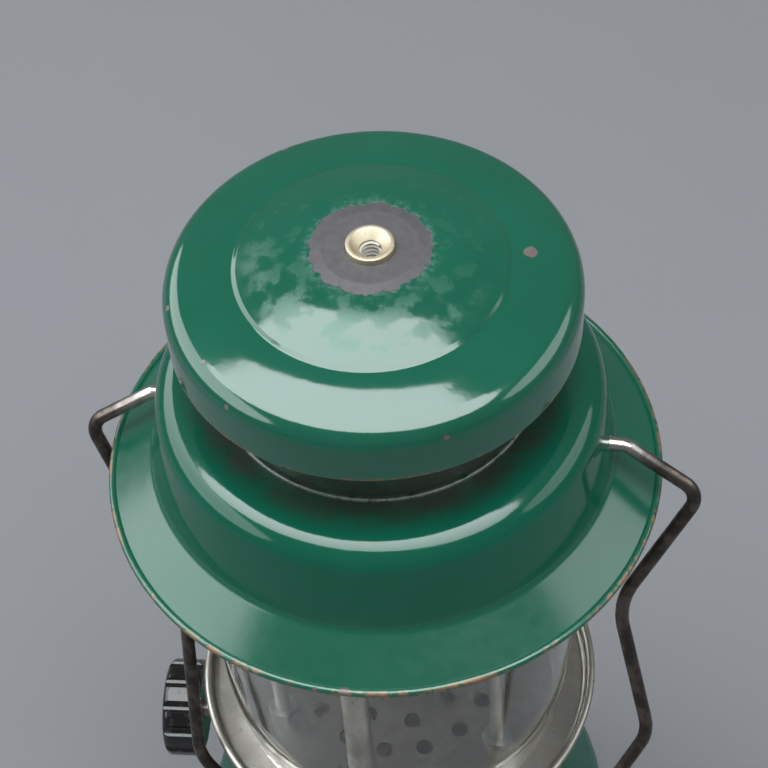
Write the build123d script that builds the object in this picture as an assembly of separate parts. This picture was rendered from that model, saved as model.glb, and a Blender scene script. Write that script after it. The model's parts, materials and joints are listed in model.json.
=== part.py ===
from build123d import *
import os
from math import asin, cos, degrees, radians, sin, sqrt, tan

# A liquid-fuel pressure lantern: fount with pump and valve, glass globe round a mantle burner, and an
# enamelled ventilator with a wire bail. Millimetres, +Z up along the lamp's axis, origin in the middle of
# the fount's underside, X through the two holes that the bail hangs from, -Y to the front.

os.makedirs("parts", exist_ok=True)

# Fits
SEAM = 0.1            # radial gap of pieces that are screwed, soldered or slipped together
RUN = 0.06            # radial gap of a shaft in its bearing
FREE = 0.3            # gap of loose pieces that move past each other
CORNER_SHARE = 0.49   # most of a straight run that one rounded corner may take

# Fount
FOUNT_R = 68.0
FOUNT_SHEET = 1.0
FOUNT_WALL = 58.0     # height of the straight wall
FOUNT_CORNER = 14.0
SHOULDER_R = 52.0     # radius at which the steep shoulder turns into the flat crown
SHOULDER_RISE = 20.0
SHOULDER_CORNER = 12.0
CROWN_RISE = 6.0
BOTTOM_LIP = 9.0
BOTTOM_CORNER = 3.0
BUNG_R = 14.0
BUNG_H = 10.0
BUNG_STAND = 4.0      # how far the bung stands above the crown
TAIL_R = 8.0          # bore of the bung for the valve's screwed tail
PICKUP_R = 3.5
PICKUP_BORE = 2.2
PICKUP_LIFT = 4.0     # mouth of the pick-up tube above the fount's floor
PICKUP_SOCKET = 8.0

# Filler
FILL_CLEAR = 1.5      # filler cap's distance from the collar
FILL_TURN = 225.0     # its direction, in degrees from +X
FILL_R = 7.5
FILL_BORE = 5.9
FILL_FOOT = 46.0
FILL_TOP = 94.0
FILL_CAP_R = 10.5
FILL_CAP_TOP = 3.5
FILL_CAP_SKIRT = 10.0
FILL_FLUTES = 16
FILL_FLUTE_R = 1.3
GASKET_BORE = 4.5
GASKET_T = 1.8

# Pump, whose axis runs to the front beside the pick-up tube
PUMP_X = 30.0
PUMP_Z = 32.0
PUMP_STAND = 8.0      # barrel's mouth in front of the fount's wall
PUMP_R = 10.0
PUMP_BORE = 9.0
PUMP_LENGTH = 94.0
PUMP_STROKE = 60.0
BOSS_R = 14.0
BOSS_STAND = 2.0      # barrel's mouth in front of its boss
PUMP_CAP_R = 13.0
PUMP_CAP_T = 6.0
PUMP_CAP_PLUG = 4.0
PUMP_ROD_R = 2.5
PUMP_ROD_OUT = 12.0   # rod in front of the pump cap with the plunger pushed in
AIR_STEM_R = 1.3
CUP_T = 5.0
CUP_LIP = 1.2
CUP_HUB_RIM = 1.0
CUP_NUT_FLATS = 8.0
CUP_NUT_T = 3.0
CHECK_T = 6.0
CHECK_FLANGE = 2.0
PUMP_KNOB_R = 11.0
PUMP_KNOB_T = 14.0
PUMP_KNOB_EDGE = 3.0

# Collar and base plate
COLLAR_R = 46.0
COLLAR_SHEET = 0.8
COLLAR_RING_T = 3.0
COLLAR_RING_H = 8.0
COLLAR_SCREWS = 3
COLLAR_SCREW_R = 1.5
COLLAR_SCREW_HEAD_R = 3.0
COLLAR_SCREW_HEAD_T = 1.8
COLLAR_DOOR_W = 30.0  # lighting window at the back of the collar
COLLAR_DOOR_H = 24.0
PLATE_Z = 138.0       # top face of the base plate
PLATE_R = 62.0
PLATE_SHEET = 1.2
PLATE_RIM = 5.0
PLATE_BEAD_R = 1.3
PLATE_CORNER = 2.0
AIR_HOLE_R = 2.6
AIR_HOLE_AT = (18.0, 28.0)
AIR_HOLE_COUNTS = (8, 14)

# Burner frame
FRAME_ROD_R = 2.2
FRAME_ROD_INSET = 7.0 # rods' distance inside the collar's outside
FRAME_ROD_TURNS = {"left": 210.0, "right": 330.0, "rear": 90.0}
FRAME_ROD_END = 7.0   # threaded length past the plate and past the baffle
ROD_NUT_FLATS = 8.0
ROD_NUT_T = 3.5
POST_NUT_FLATS = 11.0
BAFFLE_RISE = 3.0     # baffle's underside above the brim
BAFFLE_R = 24.0
BAFFLE_SHEET = 1.2
BAFFLE_ARM_W = 12.0

# Valve and generator
VALVE_Z = 108.0
VALVE_R = 10.0
VALVE_TOP = 9.0       # top of the casting above the stem
STEM_R = 3.0
STEM_BOSS = 26.0
STEM_BOSS_R = 7.0
STEM_SEAT = 6.0       # distance of the stem's seat from the lamp's axis
STEM_HOLE = 7.0
STEM_TURN = 6.0       # stem's direction, in degrees forward of the left-hand side
PACKING_FLATS = 14.0
PACKING_T = 8.0
WHEEL_AT = 66.0       # inner face of the valve wheel from the lamp's axis
WHEEL_R = 16.0
WHEEL_T = 12.0
WHEEL_EDGE = 2.5
WHEEL_FLUTES = 12
WHEEL_FLUTE_R = 2.3
WHEEL_DISH_R = 11.0
WHEEL_DISH = 2.0
WHEEL_SCREW_R = 1.5
WHEEL_SCREW_L = 10.0
WHEEL_SCREW_HEAD_R = 3.4
WHEEL_SCREW_HEAD_T = 2.0
FUEL_BORE = 2.0
GEN_X = -6.0
GEN_INSET = 12.0      # generator's distance behind the collar's front
GEN_SEAT = 118.0
GEN_R = 4.0
GEN_BORE = 2.4
GEN_NUT_FLATS = 13.0
GEN_NUT_T = 9.0
TIP_R = 3.2
TIP_L = 7.0
TIP_CONE = 2.5
NEEDLE_R = 0.8
NEEDLE_SHY = 0.5      # needle's point below the tip's mouth at rest

# Cleaning lever
CRANK_Z = 104.0
CRANK_THROW = 2.5
CRANK_TURN = 60.0     # lever's travel in degrees, half below and half above the level
CRANK_PIN_R = 1.0
CRANK_DISC_R = 4.0
CRANK_DISC_T = 2.5
CRANK_CHAMBER_R = 7.0
CRANK_CHAMBER_UP = 6.5
CRANK_BLOCK_R = 10.5
CRANK_BLOCK_DOWN = 9.0
PLUG_T = 3.0
YOKE_T = 3.0
YOKE_H = 5.2
YOKE_BACK = 2.0
YOKE_FRONT = 4.8
LEVER_SHAFT_R = 2.5
LEVER_NUT_FLATS = 9.0
LEVER_NUT_T = 4.6
LEVER_HOLE = 7.0
LEVER_STAND = 10.0    # front face of the lever in front of the collar
LEVER_T = 3.0
LEVER_HUB_R = 4.0
LEVER_L = 17.0
LEVER_END_R = 3.0
LEVER_ARM_W = 4.2

# Burner
MANIFOLD_H = 16.0
MANIFOLD_R = 11.0
MANIFOLD_ARM_R = 7.0
MANIFOLD_END_R = 9.5
MANIFOLD_BORE = 2.8
MIX_R = 7.0
MIX_BORE = 5.2
MIX_LENGTH = 22.0
MIX_SOCKET = 8.0
MIX_WINDOW_R = 2.2
MIX_OVER_TIP = 4.0    # gas tip inside the mixing tube
BURNER_NECK_R = 6.0
BURNER_NECK_L = 8.0
BURNER_R = 12.0
BURNER_H = 13.0
BURNER_BORE = 8.6
BURNER_THROAT = 3.5
GROOVE_R = 10.4
GROOVE_TOP = 5.0
GROOVE_H = 4.0
MANTLE_SHEET = 0.5
MANTLE_R = 19.0
MANTLE_LENGTH = 52.0
MANTLE_WIDEST = 18.2  # widest place below the burner cap
MANTLE_LOW_R = 17.1
MANTLE_LOW = 37.4
MANTLE_END_R = 6.65
MANTLE_LIFT = 1.2     # foot of the gathered neck above the groove's foot
MANTLE_CORNERS = (0.6, 0.6, 4.0, 16.0, 12.0, 5.0)
TIE_R = 0.7

# Globe
GLOBE_R = 54.0
GLOBE_END_R = 51.0
GLOBE_H = 119.0
GLOBE_GLASS = 2.0
GLOBE_SHOULDER = 18.0
GLOBE_CORNER = 40.0

# Ventilator, with heights above the lowest point of the brim
HOOD_RISE = 113.0     # brim above the base plate
HOOD_SHEET = 0.9
BRIM_R = 76.0
BRIM_BEAD_R = 1.1
BRIM_RISE = 11.0
BRIM_CORNER = 4.0
WALL_FOOT_R = 62.5
WALL_TOP_R = 58.5
DECK_RISE = 38.0
DECK_CORNER = 8.0
DRUM_R = 41.0
DRUM_SHEET = 0.8
DRUM_FLANGE_R = 47.0
DRUM_WINDOWS = 12
DRUM_WINDOW_W = 12.0
DRUM_WINDOW_H = 13.0
DRUM_WINDOW_UP = 61.0
CAP_R = 52.4
SKIRT_UP = 61.0
CAP_EDGE_UP = 75.9
CAP_EDGE_CORNER = 6.5
STEP_R = 38.5
STEP_UP = 79.4
STEP_CORNER = 30.0
PANEL_FOOT_R = 34.5
PANEL_FOOT_UP = 79.6
PANEL_R = 33.4
PANEL_UP = 80.3
PANEL_CORNER = 1.2
DOME_R = 22.0
DOME_UP = 84.4
DOME_CORNER = 38.0
SEAT_R = 12.0
SEAT_UP = 85.4
BUSH_R = 6.1
BUSH_STAND = 1.6
BUSH_MOUTH_R = 5.0
BUSH_MOUTH_DEPTH = 2.2
BUSH_FLANGE_R = 10.5
BUSH_FLANGE_T = 2.5
BUSH_FLOOR = 2.0
TOP_THREAD_R = 2.75   # tapped hole for the missing ventilator nut, a quarter-inch thread
TOP_THREAD_L = 10.0
POST_R = 3.0
POST_SOCKET = 5.0
POST_TOP_SOCKET = 8.0

# Bail, in its own flat shape: distances across from the lamp's axis, and down from the pivots. It is bent
# over to the right, so its left leg hugs the globe and its right leg stands off.
WIRE_R = 1.95
PIVOT_UP = 18.0       # pivot holes above the brim
BAIL_SLIDE = 1.0      # how far it hangs to one side in its holes
BAIL_DROP = 163.0
BAIL_END = 51.0
BAIL_OUT = 64.5
BAIL_RIGHT = ((85.5, 13.0), (66.5, 54.0), (79.0, 101.0), (54.0, BAIL_DROP))
BAIL_LEFT = ((-83.5, 13.0), (-59.5, 68.0), (-57.0, 136.0), (-34.0, BAIL_DROP))
BAIL_END_CORNER = 4.0
BAIL_RIGHT_CORNERS = (6.0, 24.0, 16.0, 34.0)
BAIL_LEFT_CORNERS = (6.0, 24.0, 16.0, 20.0)

# Heights and places that follow from the sizes above
SHOULDER_Z = FOUNT_WALL + SHOULDER_RISE
CROWN_Z = SHOULDER_Z + CROWN_RISE
BUNG_TOP = CROWN_Z + BUNG_STAND
PUMP_FRONT = sqrt(FOUNT_R**2 - PUMP_X**2) + PUMP_STAND
FILL_AT = COLLAR_R + FILL_CLEAR + FILL_CAP_R
FILL_X = FILL_AT * cos(radians(FILL_TURN))
FILL_Y = FILL_AT * sin(radians(FILL_TURN))
HOOD_Z = PLATE_Z + HOOD_RISE
BAFFLE_Z = HOOD_Z + BAFFLE_RISE
MANIFOLD_Z = BAFFLE_Z - MANIFOLD_H
FRAME_ROD_AT = COLLAR_R - FRAME_ROD_INSET
GEN_Y = GEN_INSET - COLLAR_R
LEVER_FRONT = COLLAR_R + LEVER_STAND
PIVOT_Z = HOOD_Z + PIVOT_UP
PLATE_UNDER = PLATE_Z - PLATE_SHEET
BAIL_REST = asin((COLLAR_R + FREE + WIRE_R) / BAIL_DROP)


def dome_z(radius):
    """Height of the fount's outside on the flat crown, between the bung and the shoulder."""
    return SHOULDER_Z + CROWN_RISE * (SHOULDER_R - radius) / (SHOULDER_R - BUNG_R - SEAM)


def turned(*corners):
    """A piece turned about the lamp's axis, from the corners (radius, height) of its half section."""
    return revolve(Plane.XZ * make_face(Polyline(*corners, close=True)), Axis.Z)


def moved_left(corners, step):
    """The run of corners moved sideways by step, to the left of its direction, with mitred corners."""
    points = [Vector(*corner) for corner in corners]
    ways = [(b - a).normalized() for a, b in zip(points, points[1:])]
    sides = [Vector(-way.Y, way.X) for way in ways]
    moved = []
    for number, point in enumerate(points):
        before = sides[max(number - 1, 0)]
        after = sides[min(number, len(sides) - 1)]
        moved.append(point + (before + after) * (step / (1 + before.dot(after))))
    turns = [a.X * b.Y - a.Y * b.X for a, b in zip(ways, ways[1:])]
    return moved, turns


def fitted(corners, radii):
    """The corner radii, each held to what the shorter of its two straight runs has room for."""
    points = [Vector(*corner) for corner in corners]
    runs = [b - a for a, b in zip(points, points[1:])]
    held = []
    for before, after, radius in zip(runs, runs[1:], radii):
        turn = radians(before.get_angle(after))
        room = CORNER_SHARE * min(before.length, after.length)
        held.append(min(radius, room / tan(turn / 2)))
    return held


def pressed(corners, radii, thickness):
    """A pressed sheet turned about the axis: its rounded outer run of corners, with the sheet on the left."""
    inner, turns = moved_left(corners, thickness)
    inner_radii = []
    for radius, turn in zip(radii, turns):
        inner_radii.append(max(radius - thickness, thickness / 2) if turn > 0 else radius + thickness)
    outside = FilletPolyline(*corners, radius=fitted(corners, radii))
    inside = FilletPolyline(*inner, radius=fitted(inner, inner_radii))
    ends = [Line(outside @ 0, inside @ 0), Line(outside @ 1, inside @ 1)]
    edges = [*outside.edges(), *inside.edges(), *[end.edge() for end in ends]]
    return revolve(Plane.XZ * make_face(edges), Axis.Z)


def height_at(radius, corners):
    """Height of a rising run of corners at a radius, between the two corners that it lies between."""
    for (outer, low), (inner, high) in zip(corners, corners[1:]):
        if inner <= radius <= outer:
            return low + (high - low) * (outer - radius) / (outer - inner)
    return corners[0][1] if radius > corners[0][0] else corners[-1][1]


def bar(radius, start, end):
    """A round bar between two points."""
    way = Vector(*end) - Vector(*start)
    return extrude(Plane(origin=start, z_dir=way) * Circle(radius), way.length)


def tube(radius, bore, start, end):
    """A round tube between two points."""
    return bar(radius, start, end) - bar(bore, start, end)


def nut(flats, bore, start, end):
    """A hexagon nut between two points."""
    way = Vector(*end) - Vector(*start)
    outline = RegularPolygon(flats / 2, 6, major_radius=False) - Circle(bore)
    return extrude(Plane(origin=start, z_dir=way) * outline, way.length)


def upright(x, y, low, high):
    """The two ends of a vertical line at x, y."""
    return (x, y, low), (x, y, high)


def stem_point(distance):
    """A point on the valve stem's axis, at a distance from the lamp's axis."""
    turn = radians(STEM_TURN)
    return (-distance * cos(turn), -distance * sin(turn), VALVE_Z)


def around(count, radius, first=0.0):
    """Points on a circle about the lamp's axis."""
    turns = [radians(first + 360.0 * number / count) for number in range(count)]
    return [(radius * cos(turn), radius * sin(turn)) for turn in turns]


def fount():
    """The fuel tank: a drawn shell, a bottom soldered into it, and the bung that the valve screws into."""
    line = [(FOUNT_R, 0), (FOUNT_R, FOUNT_WALL), (SHOULDER_R, SHOULDER_Z), (BUNG_R + SEAM, CROWN_Z)]
    shell = pressed(line, [FOUNT_CORNER, SHOULDER_CORNER], FOUNT_SHEET)
    shell -= bar(BUNG_R + SEAM, *upright(0, 0, SHOULDER_Z, BUNG_TOP))
    shell -= bar(PUMP_R + SEAM, (PUMP_X, -FOUNT_R, PUMP_Z), (PUMP_X, 0, PUMP_Z))
    shell -= bar(FILL_R + SEAM, *upright(FILL_X, FILL_Y, FILL_FOOT, FILL_TOP))
    edge = FOUNT_R - FOUNT_SHEET - SEAM
    bottom = pressed([(0, 0), (edge, 0), (edge, BOTTOM_LIP)], [BOTTOM_CORNER], FOUNT_SHEET)
    low = BUNG_TOP - BUNG_H
    bung = turned((TAIL_R, low), (BUNG_R, low), (BUNG_R, BUNG_TOP), (TAIL_R, BUNG_TOP))
    pickup_top = low + PICKUP_SOCKET
    pickup = tube(PICKUP_R, PICKUP_BORE, *upright(0, 0, FOUNT_SHEET + PICKUP_LIFT, pickup_top))
    return {"fount_shell": shell, "fount_bottom": bottom, "fount_bung": bung, "fuel_pickup_tube": pickup}


def filler():
    """The filler on the fount's shoulder: a neck, and a fluted screw cap with its gasket."""
    place = Pos(FILL_X, FILL_Y, 0)
    neck = place * tube(FILL_R, FILL_BORE, *upright(0, 0, FILL_FOOT, FILL_TOP))
    inside = FILL_R + FREE
    gasket_low = FILL_TOP + FREE
    under = gasket_low + GASKET_T
    top = under + FILL_CAP_TOP
    skirt = FILL_TOP - FILL_CAP_SKIRT
    cap = turned((0, under), (inside, under), (inside, skirt), (FILL_CAP_R, skirt),
                 (FILL_CAP_R, top), (0, top))
    for x, y in around(FILL_FLUTES, FILL_CAP_R + FILL_FLUTE_R / 2):
        cap -= bar(FILL_FLUTE_R, *upright(x, y, skirt, top))
    gasket = tube(inside - SEAM, GASKET_BORE, *upright(0, 0, gasket_low, under))
    return {"filler_neck": neck, "filler_cap": place * cap, "filler_gasket": place * gasket}


def pump():
    """The air pump: a barrel through the fount's wall, and a plunger with a leather cup on a hollow rod."""
    def along(part, at):
        return Pos(PUMP_X, -at, PUMP_Z) * Rot(90, 0, 0) * part

    def run(start, end):
        return (PUMP_X, -start, PUMP_Z), (PUMP_X, -end, PUMP_Z)

    back = PUMP_FRONT - PUMP_LENGTH
    barrel = tube(PUMP_R, PUMP_BORE, *run(back, PUMP_FRONT))
    boss = tube(BOSS_R, PUMP_R + SEAM, *run(0, PUMP_FRONT - BOSS_STAND))
    boss -= bar(FOUNT_R + SEAM, *upright(0, 0, 0, CROWN_Z))
    check = bar(PUMP_BORE - SEAM, *run(back, back + CHECK_T))
    check += bar(PUMP_R, *run(back - CHECK_FLANGE, back))
    stem_in = back + CHECK_T / 2
    check -= bar(AIR_STEM_R + RUN, *run(stem_in - FREE, back + CHECK_T))
    cap_front = PUMP_FRONT + PUMP_CAP_T
    cap = bar(PUMP_CAP_R, *run(PUMP_FRONT, cap_front))
    cap += bar(PUMP_BORE - SEAM, *run(PUMP_FRONT - PUMP_CAP_PLUG, PUMP_FRONT))
    cap -= bar(PUMP_ROD_R + RUN, *run(PUMP_FRONT - PUMP_CAP_PLUG, cap_front))
    cup_front = PUMP_FRONT - PUMP_CAP_PLUG - FREE - PUMP_STROKE
    nut_front = cup_front - CUP_T
    rod_back = nut_front - CUP_NUT_T
    rod_front = cap_front + PUMP_ROD_OUT
    rod = tube(PUMP_ROD_R, AIR_STEM_R + RUN, *run(rod_back, rod_front))
    lip = PUMP_BORE - FREE
    cup = tube(lip, PUMP_ROD_R + SEAM, *run(nut_front, cup_front))
    cup_hub = CUP_NUT_FLATS / 2 + CUP_HUB_RIM
    cup -= tube(lip - CUP_LIP, cup_hub, *run(nut_front, nut_front + CUP_T / 2))
    cup_nut = nut(CUP_NUT_FLATS, PUMP_ROD_R + SEAM, *run(rod_back, nut_front))
    knob_back = rod_front + FREE
    stem_end = knob_back + PUMP_KNOB_T - PUMP_KNOB_EDGE
    stem = bar(AIR_STEM_R, *run(stem_in, stem_end))
    knob = bar(PUMP_KNOB_R, *upright(0, 0, 0, PUMP_KNOB_T))
    knob = fillet(knob.edges().filter_by(GeomType.CIRCLE), PUMP_KNOB_EDGE)
    knob = along(knob, knob_back) - bar(AIR_STEM_R + SEAM, *run(knob_back, stem_end))
    return {"pump_barrel": barrel, "pump_boss": boss, "pump_check_valve": check, "pump_cap": cap,
            "pump_rod": rod, "pump_cup": cup, "pump_cup_nut": cup_nut, "pump_air_stem": stem,
            "pump_knob": knob}


def collar():
    """The collar that lifts the base plate off the fount, and the ring and screws that hold it."""
    inner = COLLAR_R - COLLAR_SHEET
    band = turned((inner, dome_z(inner) + SEAM), (COLLAR_R, dome_z(inner) + SEAM),
                  (COLLAR_R, PLATE_UNDER), (inner, PLATE_UNDER))
    ring_out = inner - SEAM
    ring_in = ring_out - COLLAR_RING_T
    ring_top = dome_z(ring_in) + COLLAR_RING_H
    ring = turned((ring_in, dome_z(ring_in) + SEAM), (ring_out, dome_z(ring_out) + SEAM),
                  (ring_out, ring_top), (ring_in, ring_top))
    screw_z = ring_top - COLLAR_RING_H / 2
    screws = []
    for x, y in around(COLLAR_SCREWS, 1.0, 90.0):
        def out(radius):
            return (x * radius, y * radius, screw_z)
        head = COLLAR_R + SEAM
        shank = bar(COLLAR_SCREW_R, out(ring_in), out(head))
        screws.append(shank + bar(COLLAR_SCREW_HEAD_R, out(head), out(head + COLLAR_SCREW_HEAD_T)))
        hole = bar(COLLAR_SCREW_R + SEAM, out(ring_in - 1), out(COLLAR_R + 1))
        band -= hole
        ring -= hole
    band -= bar(STEM_HOLE, stem_point(0), stem_point(COLLAR_R + 1))
    band -= bar(LEVER_HOLE, (GEN_X, 0, CRANK_Z), (GEN_X, -COLLAR_R - 1, CRANK_Z))
    door_z = (ring_top + PLATE_UNDER) / 2
    band -= Pos(0, COLLAR_R, door_z) * Box(COLLAR_DOOR_W, COLLAR_R, COLLAR_DOOR_H)
    return {"collar_band": band, "collar_ring": ring, "collar_screws": Compound(screws)}


def base_plate():
    """The perforated plate that the globe stands on, with a turned-up and beaded rim."""
    bead_r = PLATE_R - PLATE_BEAD_R
    bead_z = PLATE_Z + PLATE_RIM - PLATE_BEAD_R
    plate = pressed([(0, PLATE_UNDER), (bead_r, PLATE_UNDER), (bead_r, bead_z)],
                    [PLATE_CORNER + PLATE_SHEET], PLATE_SHEET)
    plate += Pos(0, 0, bead_z) * Torus(bead_r, PLATE_BEAD_R)
    drill = PLATE_UNDER - 1, PLATE_Z + 1
    for radius, count in zip(AIR_HOLE_AT, AIR_HOLE_COUNTS):
        for x, y in around(count, radius, 180.0 / count):
            plate -= bar(AIR_HOLE_R, *upright(x, y, *drill))
    for turn in FRAME_ROD_TURNS.values():
        plate -= bar(FRAME_ROD_R + SEAM, *upright(*around(1, FRAME_ROD_AT, turn)[0], *drill))
    return plate - bar(GEN_R + FREE, *upright(GEN_X, GEN_Y, *drill))


def burner_frame():
    """Three rods from the base plate to the baffle over the burner, with their nuts, and the centre post."""
    rod_low = PLATE_UNDER - FRAME_ROD_END
    rod_top = BAFFLE_Z + BAFFLE_SHEET
    arm = SlotCenterToCenter(FRAME_ROD_AT, BAFFLE_ARM_W)
    outline = Circle(BAFFLE_R)
    for turn in FRAME_ROD_TURNS.values():
        outline += Rot(0, 0, turn) * Pos(FRAME_ROD_AT / 2, 0) * arm
    baffle = extrude(Pos(0, 0, BAFFLE_Z) * outline, BAFFLE_SHEET)
    baffle -= bar(POST_R + SEAM, *upright(0, 0, BAFFLE_Z, rod_top))
    made = {}
    low_nuts = []
    top_nuts = [nut(POST_NUT_FLATS, POST_R + SEAM, *upright(0, 0, rod_top, rod_top + ROD_NUT_T))]
    for name, turn in FRAME_ROD_TURNS.items():
        x, y = around(1, FRAME_ROD_AT, turn)[0]
        made["frame_rod_" + name] = bar(FRAME_ROD_R, *upright(x, y, rod_low, rod_top + FRAME_ROD_END))
        baffle -= bar(FRAME_ROD_R + SEAM, *upright(x, y, BAFFLE_Z, rod_top))
        bore = FRAME_ROD_R + SEAM
        low_nuts.append(nut(ROD_NUT_FLATS, bore, *upright(x, y, PLATE_UNDER - ROD_NUT_T, PLATE_UNDER)))
        low_nuts.append(nut(ROD_NUT_FLATS, bore, *upright(x, y, PLATE_Z, PLATE_Z + ROD_NUT_T)))
        top_nuts.append(nut(ROD_NUT_FLATS, bore, *upright(x, y, BAFFLE_Z - ROD_NUT_T, BAFFLE_Z)))
        top_nuts.append(nut(ROD_NUT_FLATS, bore, *upright(x, y, rod_top, rod_top + ROD_NUT_T)))
    made["heat_baffle"] = baffle
    made["plate_nuts"] = Compound(low_nuts)
    made["baffle_nuts"] = Compound(top_nuts)
    return made


def valve():
    """The fuel valve in the collar: its casting, the packing nut, and the stem with its wheel."""
    low = BUNG_TOP - BUNG_H
    body = bar(VALVE_R, *upright(0, 0, BUNG_TOP, VALVE_Z + VALVE_TOP))
    body += bar(TAIL_R - SEAM, *upright(0, 0, low, BUNG_TOP))
    body += bar(STEM_BOSS_R, stem_point(0), stem_point(STEM_BOSS))
    body += bar(MANIFOLD_ARM_R, (0, 0, CRANK_Z), (GEN_X, GEN_Y, CRANK_Z))
    body += bar(CRANK_BLOCK_R, *upright(GEN_X, GEN_Y, CRANK_Z - CRANK_BLOCK_DOWN, GEN_SEAT))
    body -= bar(PICKUP_R + SEAM, *upright(0, 0, low, low + PICKUP_SOCKET))
    body -= bar(FUEL_BORE, *upright(0, 0, low, VALVE_Z))
    body -= bar(FUEL_BORE, stem_point(0), stem_point(STEM_SEAT))
    body -= bar(STEM_R + RUN, stem_point(STEM_SEAT), stem_point(STEM_BOSS))
    body -= bar(FUEL_BORE, (0, 0, CRANK_Z), (GEN_X, GEN_Y, CRANK_Z))
    chamber = CRANK_Z - CRANK_BLOCK_DOWN, CRANK_Z + CRANK_CHAMBER_UP
    body -= bar(CRANK_CHAMBER_R, *upright(GEN_X, GEN_Y, *chamber))
    body -= bar(2 * NEEDLE_R, *upright(GEN_X, GEN_Y, chamber[1], GEN_SEAT))
    front = GEN_Y - CRANK_BLOCK_R
    body -= bar(LEVER_SHAFT_R + RUN, (GEN_X, GEN_Y, CRANK_Z), (GEN_X, front, CRANK_Z))
    plug = bar(CRANK_CHAMBER_R - SEAM, *upright(GEN_X, GEN_Y, chamber[0], chamber[0] + PLUG_T))

    packing_end = STEM_BOSS + PACKING_T
    packing = nut(PACKING_FLATS, STEM_R + RUN, stem_point(STEM_BOSS), stem_point(packing_end))
    wheel_out = WHEEL_AT + WHEEL_T
    stem_end = wheel_out - WHEEL_DISH
    stem = bar(STEM_R, stem_point(STEM_SEAT + FREE), stem_point(stem_end))
    screw_in = stem_end - WHEEL_SCREW_L
    stem -= bar(WHEEL_SCREW_R + SEAM, stem_point(screw_in), stem_point(stem_end))
    wheel = bar(WHEEL_R, *upright(0, 0, 0, WHEEL_T))
    wheel = fillet(wheel.edges().filter_by(GeomType.CIRCLE), WHEEL_EDGE)
    for x, y in around(WHEEL_FLUTES, WHEEL_R + WHEEL_FLUTE_R / 2):
        wheel -= bar(WHEEL_FLUTE_R, *upright(x, y, 0, WHEEL_T))
    wheel -= bar(WHEEL_DISH_R, *upright(0, 0, WHEEL_T - WHEEL_DISH, WHEEL_T))
    wheel -= bar(STEM_R + SEAM, *upright(0, 0, 0, WHEEL_T))
    wheel = Pos(*stem_point(WHEEL_AT)) * Rot(0, 0, STEM_TURN) * Rot(0, -90, 0) * wheel
    screw = bar(WHEEL_SCREW_R, stem_point(screw_in), stem_point(stem_end))
    screw += bar(WHEEL_SCREW_HEAD_R, stem_point(stem_end), stem_point(stem_end + WHEEL_SCREW_HEAD_T))
    return {"valve_body": body, "chamber_plug": plug, "packing_nut": packing, "valve_stem": stem,
            "valve_wheel": wheel, "wheel_screw": screw}


def generator():
    """The tube that vaporises the fuel, its gas tip, and the needle and lever that clean the tip."""
    mix_low = BAFFLE_Z - MANIFOLD_H + MIX_SOCKET - MIX_LENGTH
    tip_top = mix_low + MIX_OVER_TIP
    tip_low = tip_top - TIP_L
    pipe = tube(GEN_R, GEN_BORE, *upright(GEN_X, GEN_Y, GEN_SEAT, tip_low))
    seat_nut = nut(GEN_NUT_FLATS, GEN_R + SEAM, *upright(GEN_X, GEN_Y, GEN_SEAT, GEN_SEAT + GEN_NUT_T))
    cone = tip_top - TIP_CONE
    bore = NEEDLE_R + RUN
    tip = turned((bore, tip_low), (TIP_R, tip_low), (TIP_R, cone), (TIP_R / 2, tip_top), (bore, tip_top))
    tip = Pos(GEN_X, GEN_Y, 0) * tip

    half = radians(CRANK_TURN / 2)
    pin_x = GEN_X + CRANK_THROW * cos(half)
    pin_z = CRANK_Z - CRANK_THROW * sin(half)
    yoke_x = GEN_X + (YOKE_FRONT - YOKE_BACK) / 2
    yoke = Pos(yoke_x, GEN_Y, pin_z) * Box(YOKE_FRONT + YOKE_BACK, YOKE_T, YOKE_H)
    slot_low = GEN_X + CRANK_THROW * cos(half) - CRANK_PIN_R - FREE
    slot_high = GEN_X + YOKE_FRONT
    slot = Box(slot_high - slot_low, YOKE_T, 2 * (CRANK_PIN_R + SEAM))
    yoke -= Pos((slot_low + slot_high) / 2, GEN_Y, pin_z) * slot
    needle = yoke + bar(NEEDLE_R, *upright(GEN_X, GEN_Y, pin_z + YOKE_H / 2, tip_top - NEEDLE_SHY))

    disc_back = GEN_Y - YOKE_T / 2 - FREE
    disc_front = disc_back - CRANK_DISC_T
    lever = bar(CRANK_DISC_R, (GEN_X, disc_back, CRANK_Z), (GEN_X, disc_front, CRANK_Z))
    lever += bar(CRANK_PIN_R, (pin_x, disc_back, pin_z), (pin_x, GEN_Y + YOKE_T / 2, pin_z))
    lever_back = LEVER_T - LEVER_FRONT
    lever += bar(LEVER_SHAFT_R, (GEN_X, disc_front, CRANK_Z), (GEN_X, lever_back, CRANK_Z))
    lever += bar(LEVER_HUB_R, (GEN_X, lever_back, CRANK_Z), (GEN_X, -LEVER_FRONT, CRANK_Z))
    end_z = CRANK_Z - LEVER_L
    lever += bar(LEVER_END_R, (GEN_X, lever_back, end_z), (GEN_X, -LEVER_FRONT, end_z))
    arm_y = LEVER_T / 2 - LEVER_FRONT
    lever += Pos(GEN_X, arm_y, (CRANK_Z + end_z) / 2) * Box(LEVER_ARM_W, LEVER_T, LEVER_L)
    front = GEN_Y - CRANK_BLOCK_R
    lever_nut = nut(LEVER_NUT_FLATS, LEVER_SHAFT_R + RUN, (GEN_X, front, CRANK_Z),
                    (GEN_X, front - LEVER_NUT_T, CRANK_Z))
    return {"generator_tube": pipe, "generator_nut": seat_nut, "gas_tip": tip, "cleaning_needle": needle,
            "cleaning_lever": lever, "cleaning_lever_nut": lever_nut}


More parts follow.
